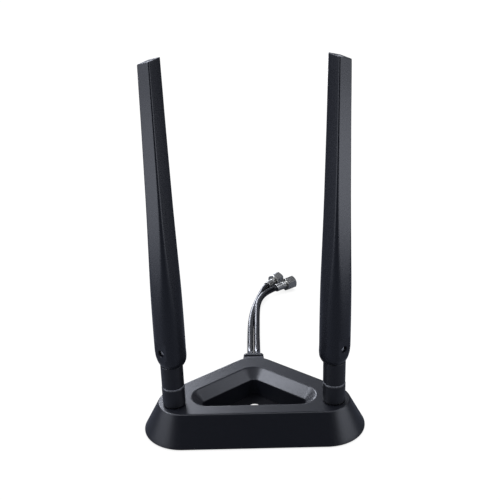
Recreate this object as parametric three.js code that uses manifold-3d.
// Desktop antenna stand for a Wi-Fi adapter.
// A low rounded-triangle base with a funnel-shaped recess carries two screw-on
// folding blade antennas. Two coax leads leave the rear through a strain relief
// and end in coaxial plugs.
// Frame: millimetres, +Z up, origin on the table midway between the antennas,
// +X to the right, +Y towards the rear (the lead side).
import * as THREE from 'three';
import { mergeVertices } from 'three/addons/utils/BufferGeometryUtils.js';
import Module from 'manifold-3d';

const wasm = await Module();
wasm.setup();
const { degToRad, radToDeg } = THREE.MathUtils;

// --------------------------------------------------------- shared dimensions
const SIDES = [['left', -1], ['right', 1]];   // name, sign of x
const ANTENNA_X = 38.75;      // antenna axes at x = -ANTENNA_X and +ANTENNA_X, y = 0
const THREAD_R = 3.175;       // 1/4-36 thread
const HEX_R = 8.0 / 2 / Math.cos(Math.PI / 6);   // corner radius, 8 mm across flats
const LEAD_R = 1.88;
const LEAD_HOLE_R = LEAD_R + 0.14;

// ----------------------------------------------------------------- materials
const plastic = (color, roughness) => ({ color, roughness, metalness: 0.0 });
const metal = (color, roughness) => ({ color, roughness, metalness: 1.0 });

const COLOR = {
  shell: 0x47484f, black: 0x25262b, nickel: 0xb9b8b2, gold: 0xc9a24a, steel: 0x9b9c9f,
  rubber: 0x1b1c1e, lead: 0x0d0e10,
};
// colour, roughness
const FINISH = {
  baseShell: plastic(COLOR.shell, 0.55),
  bladeShell: plastic(COLOR.shell, 0.5),
  cover: plastic(COLOR.black, 0.6),
  coupling: plastic(COLOR.black, 0.5),
  tipCap: plastic(0x2a2b30, 0.2),
  pad: plastic(COLOR.rubber, 0.9),
  strainRelief: plastic(COLOR.rubber, 0.6),
  lead: plastic(COLOR.lead, 0.25),
  feed: plastic(COLOR.lead, 0.4),
  ptfe: plastic(0xe8e6df, 0.5),
  nylon: plastic(0xc9ccd2, 0.35),
  board: plastic(0x2c5a3a, 0.5),
  steel: metal(COLOR.steel, 0.35),
  hingePin: metal(COLOR.steel, 0.25),
  magnet: metal(0x8a8c8f, 0.3),
  jack: metal(COLOR.gold, 0.3),
  contact: metal(COLOR.gold, 0.25),
  nickel: metal(COLOR.nickel, 0.3),
  jackWasher: metal(COLOR.nickel, 0.35),
  plugNut: metal(COLOR.nickel, 0.28),
  brass: metal(0xb5954a, 0.35),
};

// ------------------------------------------------------------- solid helpers
function solid(geometry) {
  geometry.deleteAttribute('normal');
  geometry.deleteAttribute('uv');
  const merged = mergeVertices(geometry, 1e-4);
  return new wasm.Manifold(new wasm.Mesh({
    numProp: 3,
    vertProperties: new Float32Array(merged.attributes.position.array),
    triVerts: new Uint32Array(merged.index.array),
  }));
}

function geometryOf(body) {
  const mesh = body.getMesh();
  const geometry = new THREE.BufferGeometry();
  const positions = new Float32Array(mesh.vertProperties);
  geometry.setAttribute('position', new THREE.BufferAttribute(positions, 3));
  geometry.setIndex(new THREE.BufferAttribute(new Uint32Array(mesh.triVerts), 1));
  geometry.computeVertexNormals();
  return geometry;
}

function add(parent, name, body, finish) {
  const mesh = new THREE.Mesh(geometryOf(body), new THREE.MeshStandardMaterial(finish));
  mesh.name = name;
  parent.add(mesh);
}

// solid through stacked rings [z, points], lowest first: a cylinder whose rows are moved
function loft(rings) {
  const count = rings[0][1].length;
  const spans = rings.length - 1;
  const geometry = new THREE.CylinderGeometry(1, 1, 1, count, spans, false);
  const pos = geometry.attributes.position;
  for (let k = 0; k < pos.count; k++) {
    const x = pos.getX(k);
    const z = pos.getZ(k);
    const [height, points] = rings[Math.round((pos.getY(k) + 0.5) * spans)];
    if (Math.hypot(x, z) < 0.5) {
      // centre of an end face
      let meanX = 0;
      let meanY = 0;
      for (const [px, py] of points) {
        meanX += px / count;
        meanY += py / count;
      }
      pos.setXYZ(k, meanX, meanY, height);
    } else {
      let angle = Math.atan2(x, z);
      if (angle < 0) angle += 2 * Math.PI;
      const [px, py] = points[Math.round(angle / (2 * Math.PI) * count) % count];
      pos.setXYZ(k, px, py, height);
    }
  }
  return solid(geometry);
}

// each argument is a [low, high] range
function box([x0, x1], [y0, y1], [z0, z1]) {
  const geometry = new THREE.BoxGeometry(x1 - x0, y1 - y0, z1 - z0);
  geometry.translate((x0 + x1) / 2, (y0 + y1) / 2, (z0 + z1) / 2);
  return solid(geometry);
}

// upright cone frustum
function cone([x, y], bottomR, topR, [z0, z1], segments) {
  const geometry = new THREE.CylinderGeometry(topR, bottomR, z1 - z0, segments);
  geometry.rotateX(Math.PI / 2);
  geometry.translate(x, y, (z0 + z1) / 2);
  return solid(geometry);
}

// upright cylinder or prism
function post(centre, radius, zRange, segments = 16) {
  return cone(centre, radius, radius, zRange, segments);
}

// cylinder lying along Y
function rodY(centre, radius, length, segments) {
  const geometry = new THREE.CylinderGeometry(radius, radius, length, segments);
  return solid(geometry.translate(...centre));
}

// profile of [radius, height] points turned about the vertical axis
function turned(profile, segments = 16) {
  const points = profile.map(([radius, z]) => new THREE.Vector2(radius, z));
  const first = points[0];
  const endsOnAxis = first.x === 0 && points.at(-1).x === 0;
  if (!endsOnAxis) points.push(first.clone());
  return solid(new THREE.LatheGeometry(points, segments).rotateX(Math.PI / 2));
}

function closedShape(points) {
  const shape = new THREE.Shape(points.map(([x, y]) => new THREE.Vector2(x, y)));
  shape.closePath();
  return shape;
}

// round bar swept through points
function tube(points, radius, steps, segments) {
  const circle = [];
  for (let i = 0; i < segments; i++) {
    const angle = 2 * Math.PI * i / segments;
    circle.push([radius * Math.cos(angle), radius * Math.sin(angle)]);
  }
  const vectors = points.map(p => new THREE.Vector3(...p));
  const extrudePath = new THREE.CatmullRomCurve3(vectors, false, 'centripetal');
  const options = { steps, bevelEnabled: false, extrudePath };
  return solid(new THREE.ExtrudeGeometry(closedShape(circle), options));
}

// -------------------------------------------------------------- base outline
// Straight front edge, two front corners, one rear apex.
const SIDE_ANGLE = degToRad(39.1);   // rear sides against the front edge
const CORNER_STEPS = 7;
const APEX_STEPS = 4;                // on each half of the apex
// frontY: front edge; cornerX: centres of the front corners; cornerR, apexR: radii
const WALL_TOP = { frontY: -10.2, cornerX: 34.6, cornerR: 12.6, apexR: 13.7 };
const WALL_BOTTOM = { frontY: -16.4, cornerX: 34.55, cornerR: 20.1, apexR: 23.0 };
const RECESS_TOP = { frontY: -3.1, cornerX: 21.85, cornerR: 8.83, apexR: 9.6 };
const RECESS_INNER = { frontY: 2.48, cornerX: 22.37, cornerR: 3.07, apexR: 4.03 };

// counter-clockwise ring of points, from the middle of the front edge
function outline(form, grow = 0) {
  const frontY = form.frontY - grow;
  const cornerR = form.cornerR + grow;
  const apexR = form.apexR + grow;
  const cornerX = form.cornerX;
  const cornerY = frontY + cornerR;
  const half = [[0, frontY], [cornerX, frontY]];
  const cornerTurn = Math.PI - SIDE_ANGLE;
  for (let i = 1; i <= CORNER_STEPS; i++) {
    const t = cornerTurn * i / CORNER_STEPS;
    half.push([cornerX + cornerR * Math.sin(t), cornerY - cornerR * Math.cos(t)]);
  }
  // the apex arc touches the rear side, which lies sideDistance from the origin
  const normalX = Math.sin(SIDE_ANGLE);
  const normalY = Math.cos(SIDE_ANGLE);
  const sideDistance = normalX * cornerX + normalY * cornerY + cornerR;
  const apexY = (sideDistance - apexR) / normalY;
  for (let i = 0; i <= APEX_STEPS; i++) {
    const t = cornerTurn + SIDE_ANGLE * i / APEX_STEPS;
    half.push([apexR * Math.sin(t), apexY - apexR * Math.cos(t)]);
  }
  half.at(-1)[0] = 0;   // exactly on the centre line
  const mirrored = half.slice(1, -1).reverse().map(([x, y]) => [-x, y]);
  return half.concat(mirrored);
}

// ---------------------------------------------------------------- base shell
const Z_UNDER = 0.15;         // underside of the shell rim, above the table
const Z_WIDEST = 0.7;         // widest line of the base
const Z_EDGE = 15.3;          // start of the top edge bevel
const Z_TOP = 15.9;           // top face
const RIM_INSET = 0.6;
const BEVEL = 0.35;
const WALL = 1.8;
const Z_CEILING = Z_TOP - 2.0;         // underside of the top plate
const Z_FUSED = Z_CEILING + 0.3;       // bosses run this far up into the plate
const Z_FUNNEL = 11.6;        // bottom edge of the sloping recess wall
const POCKET_WALL = 1.4;

const COVER_Z0 = 0.5;
const COVER_EDGE_Z = 1.2;     // top of the upright part of the cover's edge
const COVER_Z1 = 2.3;
const Z_BOSS = COVER_Z1 + 0.15;        // lower ends of the screw bosses and pocket wall

const SCREW_PLACES = [['left', [-22, -5.5]], ['right', [22, -5.5]], ['rear', [0, 30.2]]];
const SCREW_R = { shank: 1.05, pilot: 1.2, clearance: 1.4, head: 2.6, headRecess: 2.85,
  boss: 3.0, padHole: 3.2 };
const JACK_MOUNT_R = { hole: 3.32, nutRecess: 4.95, boss: 6.7 };

// outline of the sloping outer wall at a height
function wallAt(z) {
  const t = (z - Z_WIDEST) / (Z_EDGE - Z_WIDEST);
  const form = {};
  for (const key of Object.keys(WALL_BOTTOM)) {
    form[key] = WALL_BOTTOM[key] + (WALL_TOP[key] - WALL_BOTTOM[key]) * t;
  }
  return form;
}

function baseShell() {
  const outer = loft([
    [Z_UNDER, outline(WALL_BOTTOM, -RIM_INSET)],
    [Z_WIDEST, outline(WALL_BOTTOM)],
    [Z_EDGE, outline(WALL_TOP)],
    [Z_TOP, outline(WALL_TOP, -BEVEL)],
  ]);
  const cavity = loft([
    [-1, outline(wallAt(COVER_EDGE_Z), -WALL)],
    [COVER_EDGE_Z, outline(wallAt(COVER_EDGE_Z), -WALL)],
    [Z_CEILING, outline(wallAt(Z_CEILING), -WALL)],
  ]);
  const pocketOuter = loft([
    [Z_BOSS, outline(RECESS_INNER, POCKET_WALL)],
    [Z_FUNNEL - 0.7, outline(RECESS_INNER, POCKET_WALL)],
    [Z_FUSED, outline(RECESS_TOP, 1.1)],
  ]);
  const pocketInner = loft([
    [-2, outline(RECESS_INNER)],
    [Z_FUNNEL, outline(RECESS_INNER)],
    [Z_TOP, outline(RECESS_TOP)],
    [Z_TOP + 1, outline(RECESS_TOP)],
  ]);
  const leadOpening = box([-5.75, 5.75], [37.0, 56], [6.5, 13.8]);

  let shell = outer.subtract(cavity).add(pocketOuter);
  for (const [, place] of SCREW_PLACES) {
    shell = shell.add(post(place, SCREW_R.boss, [Z_BOSS, Z_FUSED], 12));
  }
  for (const [, sign] of SIDES) {
    shell = shell.add(post([sign * ANTENNA_X, 0], JACK_MOUNT_R.boss, [11.9, Z_FUSED]));
  }
  shell = shell.subtract(pocketInner);
  for (const [, place] of SCREW_PLACES) {
    shell = shell.subtract(post(place, SCREW_R.pilot, [0, 9.2], 10));
  }
  for (const [, sign] of SIDES) {
    const place = [sign * ANTENNA_X, 0];
    shell = shell.subtract(post(place, JACK_MOUNT_R.hole, [11, 17]));
    shell = shell.subtract(post(place, JACK_MOUNT_R.nutRecess, [13.5, 17], 20));
  }
  return shell.subtract(leadOpening);
}

// -------------------------------------------------- bottom cover and fittings
const COVER_GAP = 0.25;       // between the cover and the shell wall
// countersunk from the inside
const HANG_HOLE = { place: [0, 18.6], radius: 2.1, innerR: 5.55, padR: 3.0 };
const PAD_INSET = 3.0;        // rubber sheet, inside the cover's edge
const PAD_GAP = 0.25;
const PAD_T = 0.9;
const PAD_CHAMFER = 0.3;
const MAGNET_PLACES = [['left', [-10, -5.4]], ['right', [10, -5.4]]];
const MAGNET = { radius: 5.5, z0: 2.36, z1: 5.36, chamferR: 0.3 };

function coverOutline(inset = 0) {
  return outline(wallAt(COVER_EDGE_Z), -WALL - COVER_GAP - inset);
}

function bottomCover() {
  const { place, radius, innerR } = HANG_HOLE;
  const padRecess = loft([
    [-1, coverOutline(PAD_INSET - PAD_GAP)],
    [PAD_T + 0.03, coverOutline(PAD_INSET - PAD_GAP)],
  ]);
  let cover = loft([
    [COVER_Z0, coverOutline()],
    [COVER_EDGE_Z, coverOutline()],
    [COVER_Z1, outline(wallAt(COVER_Z1), -WALL - COVER_GAP)],
  ]);
  cover = cover.subtract(post(place, radius, [-1, 4], 18));
  cover = cover.subtract(cone(place, radius, innerR, [1.2, 2.42], 18));
  cover = cover.subtract(padRecess);
  for (const [, screwPlace] of SCREW_PLACES) {
    cover = cover.subtract(post(screwPlace, SCREW_R.clearance, [0, 4], 10));
    cover = cover.subtract(post(screwPlace, SCREW_R.headRecess, [0, 1.55], 12));
  }
  return cover;
}

function antiSlipPad() {
  let pad = loft([
    [0, coverOutline(PAD_INSET + PAD_CHAMFER)],
    [PAD_CHAMFER, coverOutline(PAD_INSET)],
    [PAD_T, coverOutline(PAD_INSET)],
  ]);
  pad = pad.subtract(post(HANG_HOLE.place, HANG_HOLE.padR, [-1, 2], 18));
  for (const [, place] of SCREW_PLACES) {
    pad = pad.subtract(post(place, SCREW_R.padHole, [-1, 2], 14));
  }
  return pad;
}

// countersunk-free flat head with a cross recess, point upwards
function coverScrew() {
  const { head, shank } = SCREW_R;
  const body = turned([[0, 0.6], [head - 0.3, 0.6], [head, 0.85], [head, 1.48],
    [shank, 1.5], [shank, 7.9], [0.3, 8.7], [0, 8.7]], 12);
  const long = [-1.5, 1.5];
  const narrow = [-0.3, 0.3];
  const depth = [0, 1.15];
  return body.subtract(box(long, narrow, depth)).subtract(box(narrow, long, depth));
}

function magnet() {
  const { radius, z0, z1, chamferR } = MAGNET;
  return turned([[0, z0], [radius - chamferR, z0], [radius, z0 + 0.3], [radius, z1 - 0.26],
    [radius - chamferR, z1], [0, z1]]);
}

// ------------------------------------------------------------- strain relief
const RELIEF_LEAD = { x: 1.95, z: 10.2 };   // lead centres, mirrored in x
// [x, z] corners of the outer head
const RELIEF_HEAD = [[-4.55, 6.6], [4.55, 6.6], [5.45, 7.5], [5.45, 12.8],
  [4.55, 13.7], [-4.55, 13.7], [-5.45, 12.8], [-5.45, 7.5]];
const RELIEF_HEAD_T = 1.6;
const RELIEF_REAR_Y = 50.6;

function strainRelief() {
  const flange = box([-6.6, 6.6], [38.5, 40.1], [5.4, 11.8]);
  const body = box([-5.6, 5.6], [38.6, 47.2], [6.65, 13.65]);
  const neck = box([-4.5, 4.5], [47.0, 49.2], [7.5, 12.8]);
  const head = new THREE.ExtrudeGeometry(closedShape(RELIEF_HEAD),
    { depth: RELIEF_HEAD_T, bevelEnabled: false });
  head.rotateX(Math.PI / 2);          // (x, y, z) -> (x, -z, y)
  head.translate(0, RELIEF_REAR_Y, 0);
  let relief = flange.add(body).add(neck).add(solid(head));
  for (const [, sign] of SIDES) {
    const { x, z } = RELIEF_LEAD;
    const hole = rodY([sign * x, 45, z], LEAD_HOLE_R, 20, 12);
    const mouth = rodY([sign * 2.0, 39, z], LEAD_R + 0.2, 6, 12);
    relief = relief.subtract(hole).subtract(mouth);
  }
  return relief;
}

// --------------------------------------------------------------------- jacks
const JACK_TOP = 23.9;
const CRIMP_Z = 7.1;
const CRIMP_DIR = new THREE.Vector2(-0.397, 0.918).normalize();   // right side; left mirrored

const JACK_PROFILE = [[0, 9.7], [2.6, 9.7], [2.6, 11.9], [THREAD_R, 12.0],
  [THREAD_R, JACK_TOP - 0.4], [THREAD_R - 0.35, JACK_TOP], [0, JACK_TOP]];
// turned parts: name, finish, segments, profile of [radius, height]
const JACK_PARTS = [
  ['jack_insulator', FINISH.ptfe, 12, [[0.6, 12.45], [2.03, 12.45], [2.03, 21.15], [0.6, 21.15]]],
  ['jack_pin', FINISH.contact, 8, [[0, 8.1], [0.5, 8.1], [0.5, 22.7], [0.2, 23.2], [0, 23.2]]],
  ['jack_washer', FINISH.jackWasher, 16,
    [[3.35, 13.53], [4.7, 13.53], [4.7, 13.93], [3.35, 13.93]]],
];
const JACK_NUT_PROFILE = [[0, 13.9], [4.35, 13.9], [4.65, 14.2], [4.65, 15.5],
  [4.35, 15.85], [0, 15.85]];

function jack(sign) {
  // square block with its crimp sleeve, built along +Y and turned to the lead
  const turn = radToDeg(Math.atan2(CRIMP_DIR.y, sign * CRIMP_DIR.x)) - 90;
  const crimp = box([-3.2, 3.2], [-3.2, 3.2], [4.4, 9.85])
    .add(rodY([0, 5.6, CRIMP_Z], 2.5, 6, 12))
    .subtract(rodY([0, 6.0, CRIMP_Z], LEAD_HOLE_R, 8, 12))
    .rotate([0, 0, turn]);
  const matingBore = post([0, 0], 2.42, [21.2, JACK_TOP + 1], 14);
  const insulatorSeat = post([0, 0], 2.15, [12.4, 21.5], 14);
  const contactTail = post([0, 0], 0.62, [8.0, 13], 8);
  return turned(JACK_PROFILE)
    .add(post([0, 0], HEX_R, [9.8, 11.8], 6))
    .add(crimp)
    .subtract(matingBore)
    .subtract(insulatorSeat)
    .subtract(contactTail);
}

function jackNut() {
  return post([0, 0], HEX_R, [13.97, 15.8], 6)
    .intersect(turned(JACK_NUT_PROFILE, 18))
    .subtract(post([0, 0], 3.35, [13, 17]));
}

function addJack(side, sign) {
  const place = [sign * ANTENNA_X, 0, 0];
  add(group, 'jack_' + side, jack(sign).translate(place), FINISH.jack);
  for (const [name, finish, segments, profile] of JACK_PARTS) {
    add(group, `${name}_${side}`, turned(profile, segments).translate(place), finish);
  }
  add(group, 'jack_nut_' + side, jackNut().translate(place), FINISH.nickel);
}

// --------------------------------------------------------------------- leads
// [x, y, z] along the right lead from behind the crimp into the strain relief;
// the left one is mirrored
const LEAD_INSIDE = [
  [33.2, 12.4, 7.1], [27, 17.9, 7.2], [19, 24.3, 7.5], [11, 30.6, 8.3], [6.4, 33.7, 9.4],
  [3.6, 35.6, 10.0], [2.2, 37.3, 10.18], [1.98, 38.6, 10.2], [1.95, 40.0, 10.2],
  [1.95, 43.0, 10.2], [1.95, 47.5, 10.2],
];
// [x, y, z] from the strain relief to just short of the plug
const LEAD_OUTSIDE = {
  left: [
    [-1.95, 51.5, 10.15], [-1.94, 56, 8.95], [-1.93, 62, 5.6], [-1.93, 68, 2.85],
    [-1.93, 75, 1.97], [-1.93, 84, 1.93], [-1.88, 94, 1.93], [-1.7, 104, 1.93],
    [-1.1, 115, 1.93], [0.25, 127, 1.93], [2.1, 136.5, 2.05], [4.3, 144.6, 2.9],
    [6.6, 151.1, 4.2],
  ],
  right: [
    [1.95, 51.5, 10.15], [1.94, 56, 8.95], [1.93, 62, 5.6], [1.93, 68, 2.85],
    [1.93, 75, 1.97], [1.92, 84, 1.93], [1.93, 94, 1.98], [2.07, 104, 2.5],
    [2.3, 115, 4.05], [3.0, 127, 5.0], [4.9, 137, 5.25], [8.4, 145.3, 5.0],
  ],
};
// free end of each lead, inside its plug: place and heading
const LEAD_END = {
  left: { x: 13.2, y: 163.4, z: 4.75, yaw: degToRad(58) },
  right: { x: 20.6, y: 158.0, z: 4.75, yaw: degToRad(40) },
};
const CRIMP_DISTANCES = [3.4, 6.2, 9.0];        // lead points, from the jack axis
const END_DISTANCES = [9, 7.5, 6, 3, 0];        // lead points, back from the free end

function coaxLead(side, sign) {
  const inCrimp = CRIMP_DISTANCES.map(d =>
    [sign * (ANTENNA_X + CRIMP_DIR.x * d), CRIMP_DIR.y * d, CRIMP_Z]);
  const inBase = LEAD_INSIDE.map(([x, y, z]) => [sign * x, y, z]);
  const { x, y, z, yaw } = LEAD_END[side];
  const inPlug = END_DISTANCES.map(d => [x - d * Math.cos(yaw), y - d * Math.sin(yaw), z]);
  return tube([...inCrimp, ...inBase, ...LEAD_OUTSIDE[side], ...inPlug], LEAD_R, 64, 8);
}

// --------------------------------------------------------------------- plugs
// Turned about Z, then laid along the plug's +X; height 0 is the lead's end.
const FERRULE_Z = -6.4;       // rear end of the plug ferrule
const PLUG_PARTS = [
  ['plug_body', FINISH.nickel, 14, [[LEAD_HOLE_R, FERRULE_Z], [2.4, FERRULE_Z],
    [2.55, FERRULE_Z + 0.3], [2.55, 3.0], [3.35, 3.05], [3.35, 4.0], [2.25, 4.1],
    [2.25, 7.0], [1.7, 7.0], [1.7, 0.4], [LEAD_HOLE_R, 0.25]]],
  ['plug_insulator', FINISH.ptfe, 10, [[0.58, 0.5], [1.6, 0.5], [1.6, 6.8], [0.58, 6.8]]],
  ['plug_pin', FINISH.contact, 8, [[0, 0.3], [0.48, 0.3], [0.48, 6.4], [0.2, 6.9], [0, 6.9]]],
];
const PLUG_NUT_PROFILE = [[0, 2.0], [4.1, 2.0], [4.62, 2.5], [4.62, 8.9], [4.1, 9.4], [0, 9.4]];

function plugNut() {
  return turned(PLUG_NUT_PROFILE, 18)
    .intersect(post([0, 0], HEX_R, [1, 10], 6))
    .subtract(post([0, 0], 2.72, [0, 3.5], 14))
    .subtract(post([0, 0], 3.65, [2.75, 11], 14));
}

function addPlug(side) {
  const { x, y, z, yaw } = LEAD_END[side];
  const plug = new THREE.Group();
  plug.position.set(x, y, z);
  plug.rotation.set(0, 0, yaw);
  const zToX = [0, 90, 0];
  for (const [name, finish, segments, profile] of PLUG_PARTS) {
    add(plug, `${name}_${side}`, turned(profile, segments).rotate(zToX), finish);
  }
  add(plug, 'plug_nut_' + side, plugNut().rotate(zToX), FINISH.plugNut);
  group.add(plug);
}

// --------------------------------------------------- antenna coupling, hinge
// Antenna frame: local +X points outwards and to the rear, the hinge pin lies along Y.
const HINGE_YAW = degToRad(38);
const COLLAR_Z0 = 16.15;
const COLLAR_Z1 = 26.05;
const COLLAR_R = 5.55;
const SWIVEL_WASHER_Z = [COLLAR_Z1 + 0.04, 26.38];
const KNUCKLE_Z0 = 26.42;
const KNUCKLE_R = 5.37;
const SHOULDER_Z = 37.8;      // top of the knuckle's round sleeve
const PIN_Z = 46.2;
const PIN_R = 1.25;
const TONGUE_T = 3.1;         // half thickness of the knuckle tongue
const TONGUE_R = 5.0;
const TONGUE_TURNED_R = 5.2;  // turned sides of the tongue
const SLOT_T = 3.45;          // half width of the fork slot

const COUPLING_PARTS = [
  ['collar', FINISH.coupling, 24, [[4.2, COLLAR_Z0], [5.15, COLLAR_Z0],
    [COLLAR_R, COLLAR_Z0 + 0.25], [COLLAR_R, COLLAR_Z1 - 0.3], [COLLAR_R - 0.3, COLLAR_Z1],
    [2.85, COLLAR_Z1], [2.85, 25.15], [4.2, 25.15]]],
  ['collar_thread_insert', FINISH.brass, 16,
    [[THREAD_R + 0.15, 16.4], [4.05, 16.4], [4.05, 23.8], [THREAD_R + 0.15, 23.8]]],
  ['connector_core', FINISH.nickel, 16, [[1.74, 21.4], [2.25, 21.4], [2.25, 24.1],
    [3.8, 24.12], [3.8, 25.0], [2.5, 25.05], [2.5, 30.4], [3.1, 30.6], [2.6, 31.6],
    [1.74, 31.6]]],
  ['connector_insulator', FINISH.ptfe, 12,
    [[1.14, 21.9], [1.64, 21.9], [1.64, 31.0], [1.14, 31.0]]],
  ['connector_contact', FINISH.contact, 10,
    [[0, 24.4], [0.6, 24.4], [0.6, 22.0], [1.05, 22.0], [1.05, 31.2], [0, 31.2]]],
  ['swivel_washer', FINISH.nylon, 20, [[2.7, SWIVEL_WASHER_Z[0]], [5.3, SWIVEL_WASHER_Z[0]],
    [5.3, SWIVEL_WASHER_Z[1]], [2.7, SWIVEL_WASHER_Z[1]]]],
];

// round sleeve with a flat tongue
function knuckle() {
  const sleeve = turned([[0, KNUCKLE_Z0], [KNUCKLE_R - 0.2, KNUCKLE_Z0],
    [KNUCKLE_R, KNUCKLE_Z0 + 0.2], [KNUCKLE_R, SHOULDER_Z - 0.4],
    [KNUCKLE_R - 0.4, SHOULDER_Z], [0, SHOULDER_Z]], 24);
  const tongue = box([-TONGUE_R, TONGUE_R], [-TONGUE_T, TONGUE_T], [SHOULDER_Z - 3, PIN_Z])
    .add(rodY([0, 0, PIN_Z], TONGUE_R, 2 * TONGUE_T, 24))
    .intersect(post([0, 0], TONGUE_TURNED_R, [SHOULDER_Z - 4, PIN_Z + 6], 24));
  const cutters = [
    rodY([0, 0, PIN_Z], PIN_R + 0.15, 20, 14),
    // stepped bore from below
    post([0, 0], 2.8, [KNUCKLE_Z0 - 1, 30.3]),
    post([0, 0], 3.4, [30.2, 32.2]),
    post([0, 0], 1.5, [32, 43.0], 10),
    // feed slot beside the pin, open towards +X
    box([1.9, 6], [-1.0, 1.0], [40.5, 52]),
    box([0, 6], [-1.0, 1.0], [40.5, 43]),
  ];
  return cutters.reduce((body, cutter) => body.subtract(cutter), sleeve.add(tongue));
}

// fills the gap between tongue and fork on the -Y side
function hingeWasher() {
  return rodY([0, 0, 0], 2.9, 0.24, 14)
    .subtract(rodY([0, 0, 0], 1.45, 2, 14))
    .translate([0, -(TONGUE_T + SLOT_T) / 2, PIN_Z]);
}

// ------------------------------------------------------------ antenna blades
const EAR_FLAT = 6.45;        // half width across the fork's flat sides
const EAR_R = 8.0;            // lower +X corner of the fork, about the pin
const BLADE_WALL = 1.4;
const TIP_Z = 178.9;          // slanted tip, on the blade axis
const TIP_ANGLE = radToDeg(Math.atan(0.287));
// [height, half width across the corners]
const SPREAD = [[38.2, 5.75], [39.4, 6.35], [40.4, 6.8], [42.2, 7.15], [43.6, 7.3], [46, 7.35],
  [54, 7.35], [61, 7.3], [71, 7.2], [81, 7.0], [91, 6.65], [101, 6.35], [110, 6.05],
  [120, 5.8], [137, 5.45], [154, 5.1], [171, 4.86], [182, 4.66]];
// [height, shift of the fork's lower end towards the other antenna]
const LEAN = [[38.2, 0.45], [39.4, 0.5], [40.4, 0.45], [42.2, 0.3], [43.6, 0.15], [46, 0]];
// [height, corner radius as a share of the half width across the flats]
const ROUND = [[38.2, 0.84], [66, 0.84], [80, 0.66], [96, 0.44], [112, 0.3], [130, 0.22],
  [182, 0.18]];
// heights of the lofted rings
const SKIN_STATIONS = [38.2, 39.4, 40.4, 42.2, 43.6, 46, 54, 66, 76, 86, 98, 112, 130, 154, 182];
const HOLLOW_STATIONS = [56, 72, 86, 100, 120, 150, 184];
const CAP_STATIONS = [168, 175, 182];

// linear between rows, held beyond the ends
function interpolate(rows, z) {
  if (z <= rows[0][0]) return rows[0][1];
  for (let i = 1; i < rows.length; i++) {
    const [z0, value0] = rows[i - 1];
    const [z1, value1] = rows[i];
    if (z <= z1) return value0 + (value1 - value0) * (z - z0) / (z1 - z0);
  }
  return rows.at(-1)[1];
}

// rounded square ring, inset from the blade's outer skin
function bladeRing(z, outAngle, inset, cornerSteps) {
  const spread = interpolate(SPREAD, z);
  const share = interpolate(ROUND, z);
  // spread = (flat - radius) * sqrt2 + radius, with radius = share * flat
  const flat = spread / ((1 - share) * Math.SQRT2 + share);
  const radius = Math.max(share * flat - inset, 0.25);
  const cornerAt = flat - inset - radius;
  const lean = interpolate(LEAN, z);
  const shiftX = -Math.cos(outAngle) * lean;
  const shiftY = -Math.sin(outAngle) * lean;
  const points = [];
  for (const [signX, signY, start] of [[1, -1, -90], [1, 1, 0], [-1, 1, 90], [-1, -1, 180]]) {
    for (let i = 0; i <= cornerSteps; i++) {
      const t = degToRad(start + 90 * i / cornerSteps);
      points.push([shiftX + signX * cornerAt + radius * Math.cos(t),
        shiftY + signY * cornerAt + radius * Math.sin(t)]);
    }
  }
  return points;
}

function bladeLoft(stations, outAngle, inset, cornerSteps) {
  return loft(stations.map(z => [z, bladeRing(z, outAngle, inset, cornerSteps)]));
}

// everything above the slanted tip, which is higher on the side facing the other antenna
function aboveTip(outAngle, z) {
  return box([-30, 30], [-30, 30], [0, 20])
    .rotate([0, TIP_ANGLE, radToDeg(outAngle)])
    .translate([0, 0, z]);
}

function bladeShell(outAngle) {
  const pinAt = [0, 0, PIN_Z];
  const roundedCorner = box([0, 12], [-10, 10], [30, PIN_Z])
    .subtract(rodY(pinAt, EAR_R, 30, 32));
  const cutters = [
    bladeLoft(HOLLOW_STATIONS, outAngle, BLADE_WALL, 2),
    post([0, 0], 1.7, [50, 57], 10),                                // feed hole
    box([-5.4, 9], [-SLOT_T, SLOT_T], [36, PIN_Z + 5.45]),          // fork slot
    box([-9, 9], [-9, -EAR_FLAT], [36, 52]),
    box([-9, 9], [EAR_FLAT, 9], [36, 52]),
    rodY(pinAt, PIN_R + 0.08, 20, 14),
    rodY([0, -7.3, PIN_Z], 1.6, 4, 16),                             // wider pin hole ends
    rodY([0, 7.3, PIN_Z], 1.6, 4, 16),
    roundedCorner,
    aboveTip(outAngle, TIP_Z),
  ];
  const skin = bladeLoft(SKIN_STATIONS, outAngle, 0, 4);
  return cutters.reduce((body, cutter) => body.subtract(cutter), skin);
}

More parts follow.
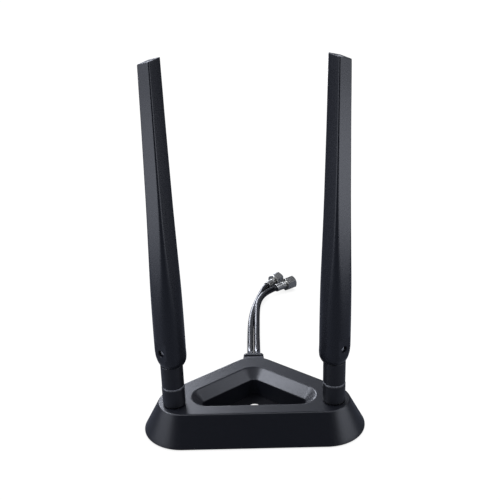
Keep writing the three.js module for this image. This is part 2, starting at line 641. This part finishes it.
// closing cap in the tip, with a square pocket underneath
function tipCap(outAngle) {
  return bladeLoft(CAP_STATIONS, outAngle, BLADE_WALL + 0.15, 2)
    .subtract(aboveTip(outAngle, TIP_Z - 0.12))
    .subtract(box([-1.2, 1.2], [-1.2, 1.2], [160, 174]));
}

function addAntenna(side, sign) {
  const antenna = new THREE.Group();
  antenna.position.set(sign * ANTENNA_X, 0, 0);
  antenna.rotation.set(0, 0, sign > 0 ? HINGE_YAW : Math.PI - HINGE_YAW);
  // direction away from the other antenna, in the antenna's own frame
  const outAngle = -sign * HINGE_YAW;
  const addPart = (name, body, finish) => add(antenna, `${name}_${side}`, body, finish);

  for (const [name, finish, segments, profile] of COUPLING_PARTS) {
    addPart(name, turned(profile, segments), finish);
  }
  addPart('knuckle', knuckle(), FINISH.coupling);
  addPart('blade_shell', bladeShell(outAngle), FINISH.bladeShell);
  addPart('tip_cap', tipCap(outAngle), FINISH.tipCap);
  addPart('hinge_pin', rodY([0, 0, PIN_Z], PIN_R, 10.4, 14), FINISH.hingePin);
  addPart('hinge_washer', hingeWasher(), FINISH.steel);
  addPart('radiator_board', box([-0.4, 0.4], [-2.2, 2.2], [61, 164]), FINISH.board);
  addPart('feed_coax', post([0, 0], 0.9, [52.2, 60.9], 10), FINISH.feed);
  group.add(antenna);
}

// ------------------------------------------------------------------ assembly
const group = new THREE.Group();

add(group, 'base_shell', baseShell(), FINISH.baseShell);
add(group, 'bottom_cover', bottomCover(), FINISH.cover);
add(group, 'anti_slip_pad', antiSlipPad(), FINISH.pad);
for (const [name, [x, y]] of SCREW_PLACES) {
  add(group, 'cover_screw_' + name, coverScrew().translate([x, y, 0]), FINISH.steel);
}
for (const [name, [x, y]] of MAGNET_PLACES) {
  add(group, 'magnet_' + name, magnet().translate([x, y, 0]), FINISH.magnet);
}
add(group, 'strain_relief', strainRelief(), FINISH.strainRelief);
for (const [side, sign] of SIDES) {
  addJack(side, sign);
  add(group, 'coax_lead_' + side, coaxLead(side, sign), FINISH.lead);
  addPlug(side);
}
for (const [side, sign] of SIDES) addAntenna(side, sign);

export default group;
